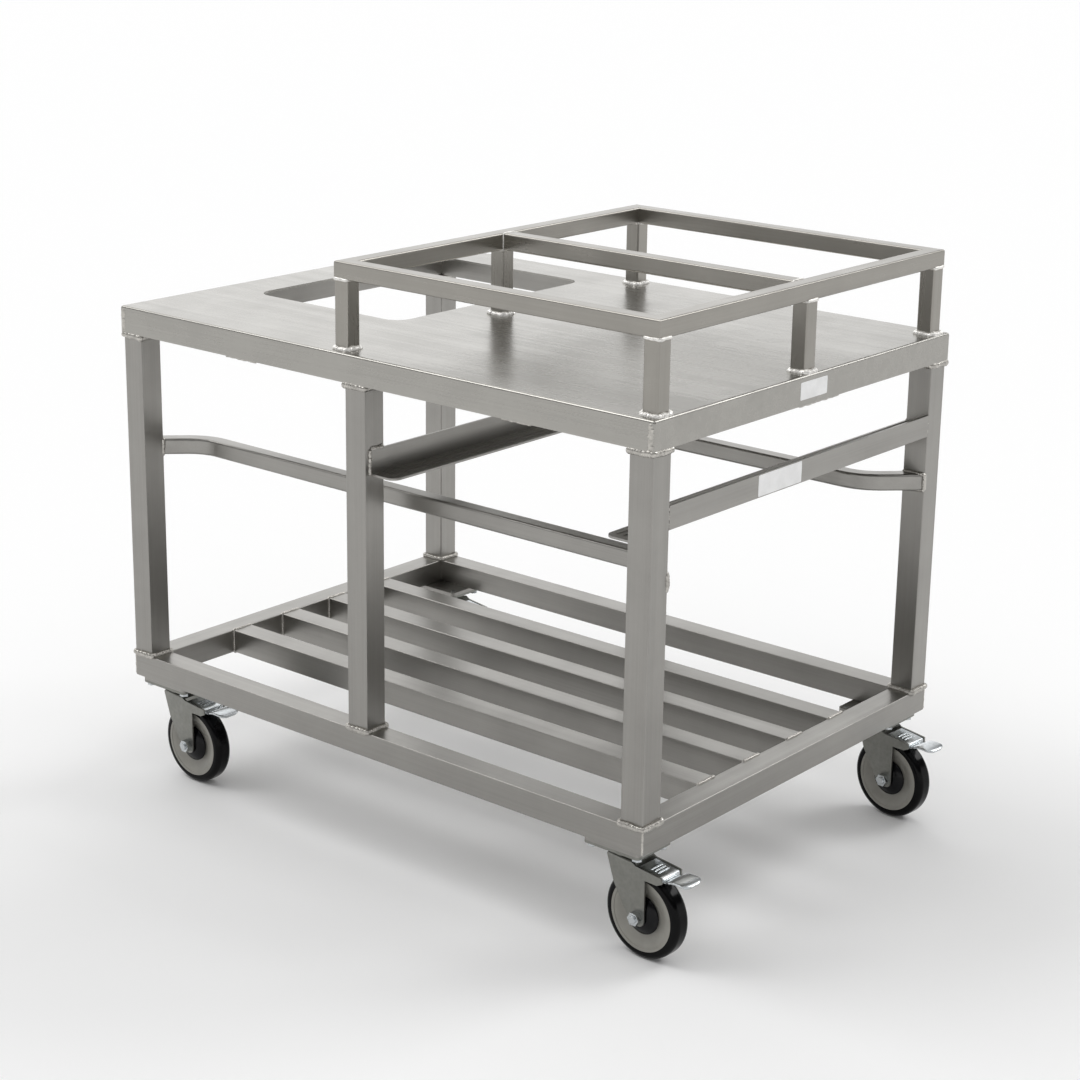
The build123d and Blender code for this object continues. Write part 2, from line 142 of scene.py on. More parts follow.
class CART_PG_finish(PropertyGroup):
    """Colours of the finishes."""

    tube: colour_property("Tube", "Mill finish of the extruded tube", "#979591")
    rack: colour_property("Rack tube", "Mill finish of the rack's thinner tube", "#98958F")
    deck: colour_property("Deck", "Mill finish of the rolled deck sheet", "#A19F9A")
    # The two weld colours are a darker and a paler copy of one weld metal. The darker one, for the beads
    # low down and under the deck, is partly soot and partly painted shade. The paler one, for the rack's
    # welds up in the light, is partly brushed clean and partly painted highlight.
    weld: colour_property("Weld", "Weld metal dulled by its own soot", "#BDBAB4")
    clean_highlit_weld: colour_property("Clean weld", "Weld metal brushed clean, at the rack's feet", "#F2F0EC")
    zinc: colour_property("Zinc", "Zinc plating of fork and plate", "#84847F")
    pedal: colour_property("Pedal", "Bright zinc plating of pedal and bolts", "#C6CACC")
    core: colour_property("Wheel core", "Grey moulded core of a wheel", "#8F8D86")
    tread: colour_property("Tread", "Black tread", "#040405")
    disc: colour_property("Thread guard", "Black thread guard", "#08080A")
    label: colour_property("Label", "Blank white label", "#EFEFEE")


class CART_PG_stage(PropertyGroup):
    """Camera, light and floor."""

    azimuth: angle_property("Azimuth", "Direction the camera looks in, from +X", 129.40)
    elevation: angle_property("Elevation", "Tilt of the view above the horizon", -16.21)
    roll: angle_property("Roll", "Turn of the camera about its view", 0.968)
    right: length_property("Right", "Camera's distance right of the frame's left face", 2715.3)
    front: length_property("Front", "Camera's distance before the frame's front face", 2249.5)
    height: length_property("Height", "Camera's height above the floor", 1491.4)
    focal_length: FloatProperty(name="Lens", description="Focal length in millimetres", default=77.43)
    shift_x: FloatProperty(name="Shift X", description="Sideways shift of the picture", default=-0.0200)
    shift_y: FloatProperty(name="Shift Y", description="Upward shift of the picture", default=-0.0484)
    floor: colour_property("Floor", "Pale studio floor", "#FCFCFC")
    horizon: colour_property("Horizon", "Studio at the horizon, as pale as the floor", "#FCFCFC")
    flank: colour_property("Flank", "Studio walls above the horizon", "#747474")
    zenith: colour_property("Zenith", "Studio ceiling", "#F6F6F6")
    level: FloatProperty(name="Level", description="Strength of the studio light", default=0.86)
    lift: FloatProperty(
        name="Lift", description="Strength of the light at the horizon, in levels", default=1.16
    )
    glow: FloatProperty(
        name="Glow", description="Strength of the light behind the cart, in levels", default=1.70
    )
    window: FloatProperty(name="Window", description="Irradiance from the two soft lamps", default=0.75)


def settings():
    """The add-on's three groups of settings: welds, finish and stage."""
    scene = bpy.context.scene
    return scene.cart_welds, scene.cart_finish, scene.cart_stage


# Meshes


def link_piece(name, vertices, faces, finish, body):
    """New piece riding on a body: poles merged, faces outwards, smooth except across creases."""
    merge_distance = 1e-6
    crease_angle = math.radians(38)
    mesh = bpy.data.meshes.new(name)
    mesh.from_pydata(vertices.tolist(), [], faces.tolist())
    merged = bmesh.new()
    merged.from_mesh(mesh)
    bmesh.ops.remove_doubles(merged, verts=merged.verts, dist=merge_distance)
    bmesh.ops.recalc_face_normals(merged, faces=merged.faces)
    merged.to_mesh(mesh)
    merged.free()
    mesh.shade_smooth()
    mesh.set_sharp_from_angle(angle=crease_angle)
    mesh.materials.append(bpy.data.materials[finish])
    piece = bpy.data.objects.new(name, mesh)
    bpy.context.scene.collection.objects.link(piece)
    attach(piece, body)
    return piece


def grid_faces(rows, columns, wrap_rows, first):
    """Quads of a grid of points whose columns wrap round, numbered from the first index."""
    i = np.arange(rows if wrap_rows else rows - 1)[:, None]
    j = np.arange(columns)[None, :]
    after_i = (i + 1) % rows
    after_j = (j + 1) % columns
    quads = np.stack([
        i * columns + j, after_i * columns + j, after_i * columns + after_j, i * columns + after_j,
    ], axis=-1)
    return quads.reshape(-1, 4) + first


def join_grids(grids):
    """Vertices and quads of several grids, each given as its points and whether its rows wrap."""
    vertices = []
    faces = []
    count = 0
    for points, wrap_rows in grids:
        rows, columns = points.shape[:2]
        vertices.append(points.reshape(-1, 3))
        faces.append(grid_faces(rows, columns, wrap_rows, count))
        count += rows * columns
    return np.concatenate(vertices), np.concatenate(faces)


# Weld beads


def loop_path(half_x, half_y, corner, step):
    """Points round a rectangle with round corners, evenly spaced: four straights and four arcs."""
    arc_points = 6
    turn = np.linspace(0, math.pi / 2, arc_points, endpoint=False)
    centres = [(1, 1), (-1, 1), (-1, -1), (1, -1)]
    corners = [
        np.stack([
            sx * (half_x - corner) + corner * np.cos(turn + k * math.pi / 2),
            sy * (half_y - corner) + corner * np.sin(turn + k * math.pi / 2),
        ], axis=1)
        for k, (sx, sy) in enumerate(centres)
    ]
    outline = np.concatenate(corners)
    closed = np.vstack([outline, outline[:1]])
    length = np.concatenate([[0], np.cumsum(np.linalg.norm(np.diff(closed, axis=0), axis=1))])
    places = np.linspace(0, length[-1], round(length[-1] / step), endpoint=False)
    return np.stack([np.interp(places, length, closed[:, k]) for k in (0, 1)], axis=1)


def tube_loop(centre, half, corner, run, step):
    """Closed path round a tube that runs along an axis, through a centre."""
    flat = loop_path(*half, corner, step)
    return np.insert(flat, "XYZ".index(run), 0.0, axis=1) + np.array(centre)


def line_path(start, end, step):
    """Evenly spaced points from start to end, never fewer than a bead's round ends need."""
    fewest_points = 8
    start = np.array(start, float)
    end = np.array(end, float)
    count = max(fewest_points, round(np.linalg.norm(end - start) / step))
    return start + (end - start) * np.linspace(0, 1, count)[:, None]


def bead(path, up, section, closed, seed):
    """Grid of a weld bead along a path.

    An ellipse is carried along the path. One half axis stands off the wall, square to the path
    and to up, and the other lies along up. The ellipse swells and falls over each ripple as a half
    ellipse does, and the ripples lag at the crown, which makes crescents. The whole bead also grows,
    shrinks and strays by slow sums of sines. An open bead closes as a quarter circle does. The seed
    sets where its sines and its ripples start.
    """
    welds = settings()[0]
    stand_off, half_width = section
    # Each sine has this many waves along the bead
    waves = (2, 3, 5, 7)
    # The crown lags by half a ripple, and a ripple's ends stop just short of a full half ellipse
    crown_lag, fullness = 0.5, 0.96
    random = np.random.default_rng(seed)
    ahead = np.roll(path, -1, axis=0) - path
    if closed:
        tangent = np.roll(path, -1, axis=0) - np.roll(path, 1, axis=0)
    else:
        ahead[-1] = 0
        tangent = np.gradient(path, axis=0)
    up = np.broadcast_to(np.array(up, float), path.shape)
    off_wall = np.cross(tangent, up)
    off_wall /= np.linalg.norm(off_wall, axis=1)[:, None]
    steps = np.linalg.norm(ahead, axis=1)
    total = steps.sum()
    length = np.cumsum(steps) - steps
    around = 2 * math.pi * length / total
    growth, straying = (
        sum(welds.wander * np.sin(k * around + 2 * math.pi * random.random()) for k in waves)
        for _ in range(2)
    )
    angle = np.linspace(0, 2 * math.pi, welds.sides, endpoint=False)
    ripples = max(1, round(total / welds.ripple_pitch))
    lag = crown_lag * np.cos(angle) ** 2
    phase = (ripples * length[:, None] / total + lag[None, :] + random.random()) % 1
    ripple = np.sqrt(1 - fullness * (2 * phase - 1) ** 2)
    swell = (1 + growth[:, None]) * (1 - welds.ripple_depth * (1 - ripple))
    if not closed:
        inset = np.clip(np.minimum(length, total - length) / half_width, 0, 1)
        swell = swell * np.sqrt(1 - (1 - inset) ** 2)[:, None]
    middle = path + half_width * straying[:, None] * up
    section_out = stand_off * np.cos(angle)[None, :, None] * off_wall[:, None, :]
    section_up = half_width * np.sin(angle)[None, :, None] * up[:, None, :]
    return middle[:, None, :] + swell[:, :, None] * (section_out + section_up), closed


def weld_piece(name, beads, finish):
    """One piece of weld metal made of many beads."""
    vertices, faces = join_grids(beads)
    return link_piece(name, vertices, faces, finish, CART)


def node_box(node):
    """Low corner, high corner and middle of a node, as arrays."""
    low, high = (np.array(corner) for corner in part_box(node))
    return low, high, (low + high) / 2


# Materials


def add_node(tree, kind, inputs, **options):
    """Node of a kind with its options, whose inputs, by name or number, are set or linked."""
    node = tree.nodes.new(kind)
    for key, value in options.items():
        setattr(node, key, value)
    for key, value in inputs.items():
        if isinstance(value, bpy.types.NodeSocket):
            tree.links.new(value, node.inputs[key])
        else:
            node.inputs[key].default_value = value
    return node


def material_tree(name):
    """Empty node tree of a new material."""
    made = bpy.data.materials.new(name)
    made.use_nodes = True
    made.node_tree.nodes.clear()
    return made.node_tree


def cycles(*millimetres):
    """Scale for each axis of a pattern whose cells have these sizes, in cycles a metre."""
    return [1000 / size for size in millimetres]


def toned(colour, factor):
    """A linear colour made lighter or darker, alpha kept."""
    return (*[min(1.0, channel * factor) for channel in colour[:3]], 1.0)


def surface(tree, share, colour, tones, roughness, bump, inputs):
    """Shader and output of a material, whose tone and roughness follow a share from 0 to 1.

    The tone goes in a straight line from the first of the tones to the second, and so does the
    roughness. The shader's other inputs are given by name.
    """
    tint = add_node(tree, "ShaderNodeMix", {
        FACTOR: share, COLOUR_A: toned(colour, tones[0]), COLOUR_B: toned(colour, tones[1]),
    }, data_type="RGBA")
    gloss = add_node(tree, "ShaderNodeMapRange", {
        "Value": share, "To Min": roughness[0], "To Max": roughness[1],
    })
    shader = add_node(tree, "ShaderNodeBsdfPrincipled", {
        "Base Color": tint.outputs[COLOUR_RESULT], "Roughness": gloss.outputs["Result"],
        "Normal": bump.outputs["Normal"], **inputs,
    })
    add_node(tree, "ShaderNodeOutputMaterial", {"Surface": shader.outputs["BSDF"]})


def drawn_aluminium(name, colour, run, roughness):
    """Mill finish 6061 aluminium, pressed through a die and left as it came.

    The die leaves bands and fine lines along the tube and handling leaves cloudy dull patches, so
    the eye sees satin grey with soft lengthwise streaks. Real die lines are about 0.1 mm apart,
    which is too fine to show, so they are drawn 1.8 mm apart and faint.
    """
    tree = material_tree(name)
    place = add_node(tree, "ShaderNodeTexCoord", {}).outputs["Object"]
    line_pitch_mm, line_length_mm = 1.8, 240.0
    band_width_mm, band_length_mm = 14.0, 900.0
    cloud_size_mm = 110.0
    line_scale = cycles(*[line_length_mm if axis == run else line_pitch_mm for axis in "XYZ"])
    band_scale = cycles(*[band_length_mm if axis == run else band_width_mm for axis in "XYZ"])
    line_place = add_node(tree, "ShaderNodeMapping", {"Vector": place, "Scale": line_scale})
    band_place = add_node(tree, "ShaderNodeMapping", {"Vector": place, "Scale": band_scale})
    lines = add_node(tree, "ShaderNodeTexNoise", {
        "Vector": line_place.outputs["Vector"], "Scale": 1.0, "Detail": 3.0, "Roughness": 0.6,
    })
    bands = add_node(tree, "ShaderNodeTexNoise", {
        "Vector": band_place.outputs["Vector"], "Scale": 1.0, "Detail": 2.0, "Roughness": 0.5,
    })
    clouds = add_node(tree, "ShaderNodeTexNoise", {
        "Vector": place, "Scale": 1000 / cloud_size_mm, "Detail": 5.0, "Roughness": 0.62,
    })
    drawn = add_node(tree, "ShaderNodeMix", {
        FACTOR: 0.5, NUMBER_A: lines.outputs["Fac"], NUMBER_B: bands.outputs["Fac"],
    })
    mixed = add_node(tree, "ShaderNodeMix", {
        FACTOR: 0.45, NUMBER_A: drawn.outputs[NUMBER_RESULT], NUMBER_B: clouds.outputs["Fac"],
    })
    spread = add_node(tree, "ShaderNodeMapRange", {
        "Value": mixed.outputs[NUMBER_RESULT], "From Min": 0.36, "From Max": 0.64,
    })
    bump = add_node(tree, "ShaderNodeBump", {
        "Strength": 0.05, "Distance": 0.0003, "Height": lines.outputs["Fac"],
    })
    tones = (0.93, 1.07)
    dull_to_glossy = (roughness + 0.05, roughness - 0.05)
    surface(tree, spread.outputs["Result"], colour, tones, dull_to_glossy, bump, {"Metallic": 1.0})


def weld_metal(name, colour, roughness):
    """Aluminium filler, frozen as it was laid.

    It is whiter and brighter than the wrought tube, with a fine frosted skin and dull specks of
    oxide in its hollows.
    """
    tree = material_tree(name)
    place = add_node(tree, "ShaderNodeTexCoord", {}).outputs["Object"]
    speck_size_mm = 1.6
    soot_size_mm = 9.0
    specks = add_node(tree, "ShaderNodeTexNoise", {
        "Vector": place, "Scale": 1000 / speck_size_mm, "Detail": 3.0, "Roughness": 0.7,
    })
    soot = add_node(tree, "ShaderNodeTexNoise", {
        "Vector": place, "Scale": 1000 / soot_size_mm, "Detail": 2.0, "Roughness": 0.6,
    })
    mixed = add_node(tree, "ShaderNodeMix", {
        FACTOR: 0.5, NUMBER_A: specks.outputs["Fac"], NUMBER_B: soot.outputs["Fac"],
    })
    spread = add_node(tree, "ShaderNodeMapRange", {
        "Value": mixed.outputs[NUMBER_RESULT], "From Min": 0.38, "From Max": 0.62,
    })
    bump = add_node(tree, "ShaderNodeBump", {
        "Strength": 0.05, "Distance": 0.0004, "Height": specks.outputs["Fac"],
    })
    tones = (0.78, 1.10)
    dull_to_glossy = (roughness + 0.08, roughness - 0.08)
    surface(tree, spread.outputs["Result"], colour, tones, dull_to_glossy, bump, {"Metallic": 1.0})


def zinc_plate(name, colour, roughness):
    """Pressed steel with electroplated zinc.

    The plating is even and satin, with a soft mottle a few millimetres wide where the bath took
    better, and it dulls in larger patches where hands and grease have been. Sheared and folded edges
    are a little round, so that they catch the light as a thin bright line.
    """
    tree = material_tree(name)
    place = add_node(tree, "ShaderNodeTexCoord", {}).outputs["Object"]
    mottle_size_mm = 5.0
    patch_size_mm = 28.0
    edge_radius_mm = 0.9
    mottle = add_node(tree, "ShaderNodeTexVoronoi", {
        "Vector": place, "Scale": 1000 / mottle_size_mm, "Smoothness": 0.8,
    }, feature="SMOOTH_F1")
    patches = add_node(tree, "ShaderNodeTexNoise", {
        "Vector": place, "Scale": 1000 / patch_size_mm, "Detail": 4.0, "Roughness": 0.6,
    })
    mixed = add_node(tree, "ShaderNodeMix", {
        FACTOR: 0.7, NUMBER_A: mottle.outputs["Distance"], NUMBER_B: patches.outputs["Fac"],
    })
    spread = add_node(tree, "ShaderNodeMapRange", {
        "Value": mixed.outputs[NUMBER_RESULT], "From Min": 0.32, "From Max": 0.62,
    })
    edge = add_node(tree, "ShaderNodeBevel", {"Radius": edge_radius_mm / 1000}, samples=4)
    bump = add_node(tree, "ShaderNodeBump", {
        "Strength": 0.04, "Distance": 0.0003, "Height": mottle.outputs["Distance"],
        "Normal": edge.outputs["Normal"],
    })
    tones = (0.92, 1.08)
    dull_to_glossy = (roughness + 0.05, roughness - 0.04)
    surface(tree, spread.outputs["Result"], colour, tones, dull_to_glossy, bump, {"Metallic": 1.0})


def moulded(name, colour, roughness, grain_mm, grain_strength, specular):
    """Plastic or rubber from a polished mould: even colour, faint flow marks and a fine grain."""
    tree = material_tree(name)
    place = add_node(tree, "ShaderNodeTexCoord", {}).outputs["Object"]
    flow_size_mm = 26.0
    grain = add_node(tree, "ShaderNodeTexNoise", {
        "Vector": place, "Scale": 1000 / grain_mm, "Detail": 3.0, "Roughness": 0.6,
    })
    flow = add_node(tree, "ShaderNodeTexNoise", {
        "Vector": place, "Scale": 1000 / flow_size_mm, "Detail": 4.0, "Roughness": 0.6,
    })
    bump = add_node(tree, "ShaderNodeBump", {
        "Strength": grain_strength, "Distance": 0.0003, "Height": grain.outputs["Fac"],
    })
    tones = (0.80, 1.20)
    glossy_to_dull = (roughness - 0.05, roughness + 0.08)
    shine = {"Specular IOR Level": specular}
    surface(tree, flow.outputs["Fac"], colour, tones, glossy_to_dull, bump, shine)


def make_materials():
    """Every material of the cart, once."""
    finish = settings()[1]
    for run in "XYZ":
        # Extruded tube shows its die lines along its length
        drawn_aluminium(f"mill_aluminium_{run.lower()}", finish.tube, run, 0.33)
        # The rack's thinner tube is a little glossier
        drawn_aluminium(f"mill_aluminium_rack_{run.lower()}", finish.rack, run, 0.30)
    # Rolled sheet is paler and glossier than tube, with its grain along the deck
    drawn_aluminium("mill_aluminium_sheet", finish.deck, "X", 0.27)
    # Weld metal in two copies: a darker one for the beads under and below the deck, partly soot and partly
    # painted shade, and a paler one for the rack's welds up in the light, partly brushed clean and partly
    # painted highlight
    weld_metal("sooty_shaded_weld", finish.weld, 0.32)
    weld_metal("brushed_highlit_weld", finish.clean_highlit_weld, 0.46)
    # Fork and plate are dull from the plating barrel, pedal and bolts are bright
    zinc_plate("satin_zinc_plate", finish.zinc, 0.34)
    zinc_plate("bright_zinc_plate", finish.pedal, 0.20)
    # Polyolefin core: matt and slightly speckled
    moulded("grey_polyolefin", finish.core, 0.34, 1.2, 0.06, 0.5)
    # Polyurethane tread: near black and glossy where it has rolled clean
    moulded("black_polyurethane", finish.tread, 0.11, 3.0, 0.04, 0.12)
    # Nylon thread guard: black and glossy from a polished mould
    moulded("black_nylon", finish.disc, 0.18, 1.0, 0.04, 0.2)
    # Vinyl label stock: white and slightly glossy
    moulded("white_vinyl", finish.label, 0.34, 0.8, 0.05, 0.5)


def dress(node, finish):
    """Give a CAD node a material."""
    target = frame["nodes"][node]
    target.data.materials.clear()
    target.data.materials.append(bpy.data.materials[finish])


def long_axis(node):
    """The axis along which a node is longest, as a small letter."""
    low, high = node_box(node)[:2]
    return "xyz"[int(np.argmax(high - low))]


class CART_OT_finishes(Operator):
    """Make the materials and dress every CAD node of the cart in its own"""

    bl_idname = "cart.finishes"
    bl_label = "Finishes"

    def execute(self, context):
        make_materials()
        for node in frame["nodes"]:
            if node.startswith("rack_rail_"):
                dress(node, f"mill_aluminium_rack_{long_axis(node)}")
            elif not node.startswith("caster_"):
                dress(node, f"mill_aluminium_{long_axis(node)}")
        dress("rack_posts", "mill_aluminium_rack_z")
        dress("deck_sheet", "mill_aluminium_sheet")
        dress("caster_mount_pads", "mill_aluminium_x")
        dress("caster_bolts", "bright_zinc_plate")
        for corner in CORNERS:
            for part, finish in CASTER_FINISHES.items():
                dress(f"caster_{corner}_{part}", finish)
        return {"FINISHED"}


# Welds


class CART_OT_post_welds(Operator):
    """Weld each post to the base below and the deck above"""

    bl_idname = "cart.post_welds"
    bl_label = "Post welds"

    def execute(self, context):
        welds = settings()[0]
        stand_off, half_width = welds.post
        corner = 0.003
        # The bead's middle lies off the tube's face, so that it undercuts where it meets the tube
        off_face = 0.25 * stand_off
        # The lower bead stands on the base, and the upper one hangs just under the deck's folded edge
        foot_rise = 0.3 * half_width
        head_drop = 0.7 * half_width
        posts = [
            f"post_{row}_{column}" for row in ("front", "rear") for column in ("left", "middle", "right")
        ]
        beads = []
        for index, post in enumerate(posts):
            low, high, middle = node_box(post)
            half = (high - low)[:2] / 2 + off_face
            for end, height in enumerate((low[2] + foot_rise, high[2] - head_drop)):
                path = tube_loop((middle[0], middle[1], height), half, corner, "Z", welds.step)
                beads.append(bead(path, (0, 0, 1), welds.post, True, 10 * index + end))
        weld_piece("post_weld_beads", beads, "sooty_shaded_weld")
        return {"FINISHED"}


def rack_post_centres():
    """Middles of the six rack posts and half their width, worked out from the rack's rails."""
    left_low, left_high, left = node_box("rack_rail_left")
    right = node_box("rack_rail_right")[2]
    middle = node_box("rack_rail_middle")[2]
    half = (left_high[0] - left_low[0]) / 2
    rows = (left_low[1] + half, middle[1], left_high[1] - half)
    return [(x, y) for x in (left[0], right[0]) for y in rows], half


class CART_OT_rack_welds(Operator):
    """Weld each rack post to the deck and to the rail above it, and the middle rail at both ends"""

    bl_idname = "cart.rack_welds"
    bl_label = "Rack welds"

    def execute(self, context):
        welds = settings()[0]
        centres, half = rack_post_centres()
        low, high = node_box("rack_posts")[:2]
        corner = 0.004
        ends = ((low[2], welds.rack_foot), (high[2], welds.rack_head))
        rail_section = 0.6 * np.array(welds.rack_head)
        beads = []
        for index, (x, y) in enumerate(centres):
            for end, (height, section) in enumerate(ends):
                path = tube_loop((x, y, height), (half, half), corner, "Z", welds.step)
                beads.append(bead(path, (0, 0, 1), section, True, 200 + 10 * index + end))
        rail_low, rail_high, rail = node_box("rack_rail_middle")
        for end, x in enumerate((rail_low[0], rail_high[0])):
            path = tube_loop((x, rail[1], rail[2]), (half, half), corner, "X", welds.step)
            beads.append(bead(path, (1, 0, 0), rail_section, True, 290 + end))
        weld_piece("rack_weld_beads", beads, "brushed_highlit_weld")
        return {"FINISHED"}


def upright_edges(low, high, inset_x, inset_y):
    """Upright edges of a box moved inwards: front left, front right, rear left and rear right."""
    across = (low[0] + inset_x, high[0] - inset_x)
    back = (low[1] + inset_y, high[1] - inset_y)
    return [(x, y) for y in back for x in across]


class CART_OT_slat_welds(Operator):
    """Weld both ends of each slat to the base rails, and the mitres at the base's corners"""

    bl_idname = "cart.slat_welds"
    bl_label = "Slat welds"

    def execute(self, context):
        welds = settings()[0]
        corner = 0.003
        beads = []
        slats = sorted(node for node in frame["nodes"] if node.startswith("base_slat_"))
        for index, slat in enumerate(slats):
            low, high, middle = node_box(slat)
            half = (high - low)[1:] / 2
            for end, x in enumerate((low[0], high[0])):
                path = tube_loop((x, middle[1], middle[2]), half, corner, "X", welds.step)
                beads.append(bead(path, (1, 0, 0), welds.slat, True, 300 + 10 * index + end))
        low = node_box("base_rail_front")[0]
        high = node_box("base_rail_rear")[1]
        # Each mitre seam is mostly sunk in the corner, and stops short of the rail's rounded edges
        inset = 0.6 * welds.mitre[0]
        stop_short = 0.002
        diagonal = (0.7, 0.7, 0)
        for index, (x, y) in enumerate(upright_edges(low, high, inset, inset)):
            path = line_path((x, y, low[2] + stop_short), (x, y, high[2] - stop_short), welds.step)
            beads.append(bead(path, diagonal, welds.mitre, False, 380 + index))
        weld_piece("base_weld_beads", beads, "sooty_shaded_weld")
        return {"FINISHED"}


class CART_OT_fitting_welds(Operator):
    """Weld the stop bar, the ledges and the guard rails to the posts"""

    bl_idname = "cart.fitting_welds"
    bl_label = "Fitting welds"

    def execute(self, context):
        welds = settings()[0]
        section = welds.fitting
        step = welds.step
        beads = []
        low, high, middle = node_box("tray_stop_bar")
        for end, y in enumerate((low[1], high[1])):
            face = high[0] - section[0]
            path = line_path((face, y, low[2]), (face, y, high[2]), step)
            beads.append(bead(path, (0, 1, 0), section, False, 400 + end))
        for index, (ledge, post, side) in enumerate((
            ("tray_ledge_left", "middle", 1), ("tray_ledge_right", "right", -1),
        )):
            low, high, middle = node_box(ledge)
            for row in ("front", "rear"):
                post_low, post_high, post_middle = node_box(f"post_{row}_{post}")
                wall = post_high[0] if side > 0 else post_low[0]
                edge = post_high[1] if row == "front" else post_low[1]
                tip = low[1] if row == "front" else high[1]
                top = line_path((wall, tip, high[2]), (wall, edge, high[2]), step)
                beads.append(bead(top, (0, 0, 1), section, False, 420 + 10 * index))
                upright = line_path((wall, tip, low[2]), (wall, tip, high[2]), step)
                beads.append(bead(upright, (0, 1, 0), section, False, 425 + 10 * index))
        corner = 0.004
        for index, row in enumerate(("front", "rear")):
            low, high, middle = node_box(f"guard_rail_{row}")
            # The rail meets the post at 45 degrees, so its cut end is longer than its tube is wide
            half_z = (high[2] - low[2]) / 2
            half_x = half_z / math.cos(math.pi / 4)
            for end, side in enumerate(("left", "right")):
                post_low, post_high, post_middle = node_box(f"post_{row}_{side}")
                face = post_high[1] if row == "front" else post_low[1]
                centre = (post_middle[0], face, middle[2])
                path = tube_loop(centre, (half_x, half_z), corner, "Y", step)
                beads.append(bead(path, (0, 1, 0), section, True, 440 + 10 * index + end))
        weld_piece("fitting_weld_beads", beads, "sooty_shaded_weld")
        return {"FINISHED"}


class CART_OT_deck_seams(Operator):
    """Weld the four folded corners of the deck and the short stitches under its edge"""

    bl_idname = "cart.deck_seams"
    bl_label = "Deck seams"

    def execute(self, context):
        welds = settings()[0]
        low, high = node_box("deck_sheet")[:2]
        beads = []
        # Each seam runs down the front or rear face, close to the corner, half sunk in the sheet, and
        # ends under the deck's rounded edge
        edge_gap = 0.0012
        top_gap = 0.004
        along = welds.seam[1] + edge_gap
        sunk = 0.45 * welds.seam[0]
        for index, (x, y) in enumerate(upright_edges(low, high, along, sunk)):
            path = line_path((x, y, low[2]), (x, y, high[2] - top_gap), welds.step)
            beads.append(bead(path, (1, 0, 0), welds.seam, False, 500 + index))
        corner_x, corner_y = node_box("deck_rail_front")[0][:2]
        edge = low[2]
        front = low[1] + welds.stitch[0]
        for index, (start, end) in enumerate(FRONT_STITCHES):
            path = line_path((corner_x + start, front, edge), (corner_x + end, front, edge), welds.step)
            beads.append(bead(path, (0, 0, 1), welds.stitch, False, 520 + index))
        side = high[0] - welds.stitch[0]
        start, end = SIDE_STITCH
        path = line_path((side, corner_y + start, edge), (side, corner_y + end, edge), welds.step)
        beads.append(bead(path, (0, 0, 1), welds.stitch, False, 530))
        weld_piece("deck_seam_beads", beads, "sooty_shaded_weld")
        return {"FINISHED"}


# Casters


def recorded_joint(name):
    """A joint of the cart's record, by its name."""
    return next(row for row in frame["record"]["behaviour"]["joints"] if row["name"] == name)


def caster_axes(corner):
    """Foot of a caster's swivel axis, and its own directions: towards the pedal and along the axle."""
    foot = np.array(recorded_joint(f"{corner}_swivel")["pos_m"]) * (1, 1, 0)
    axle = np.array(recorded_joint(f"{corner}_wheel_spin")["axis"])
    towards_pedal = np.cross(axle, (0, 0, 1))
    return foot, towards_pedal, axle


def caster_spot(corner, joint):
    """A joint's place in the caster's upright plane: distance behind the swivel axis, and height."""
    place = np.array(recorded_joint(f"{corner}_{joint}")["pos_m"])
    foot, towards_pedal = caster_axes(corner)[:2]
    return float(np.dot(place - foot, towards_pedal)), float(place[2])


def to_cart(corner, grid):
    """A grid given in a caster's own x, y and z, as points of the cart."""
    foot, towards_pedal, axle = caster_axes(corner)
    upright = np.array((0, 0, 1))
    return foot + grid[..., :1] * towards_pedal + grid[..., 1:2] * axle + grid[..., 2:] * upright


def caster_piece(name, corner, grids, wrap_rows, finish, part):
    """Piece that rides on a part of a caster, made of grids in the caster's own x, y and z."""
    vertices, faces = join_grids([(to_cart(corner, grid), wrap_rows) for grid in grids])
    return link_piece(f"{name}_{corner}", vertices, faces, finish, f"caster_{corner}_{part}")


def rod(x, z, start, end, radius, pitch=1.0, depth=0.0):
    """Grid of a rod that lies along a caster's axle direction, with a thread where depth isn't 0.

    Its radius rises and falls as a triangle does with the distance along it less the turn round it,
    so that the ridge climbs as a helix. The first and last rings close on its axis.
    """
    rings, sides = 33, 48
    along = np.linspace(start, end, rings)
    turn = np.linspace(0, 2 * math.pi, sides, endpoint=False)
    phase = (along[:, None] / pitch - turn[None, :] / (2 * math.pi)) % 1
    radii = radius + depth * (1 - np.abs(2 * phase - 1))
    radii = np.vstack([np.zeros(sides), radii, np.zeros(sides)])
    along = np.concatenate([[start], along, [end]])
    side = np.broadcast_to(along[:, None], radii.shape)
    return np.stack([x + radii * np.cos(turn), side, z + radii * np.sin(turn)], axis=-1)


def rounded_line(points, rounds=4):
    """A line of points whose corners are cut at a quarter and three quarters, again and again."""
    line = np.array(points, float)
    for _ in range(rounds):
        near = 0.75 * line[:-1] + 0.25 * line[1:]
        far = 0.25 * line[:-1] + 0.75 * line[1:]
        cut = np.stack([near, far], axis=1).reshape(-1, 2)
        line = np.vstack([line[:1], cut, line[-1:]])
    return line


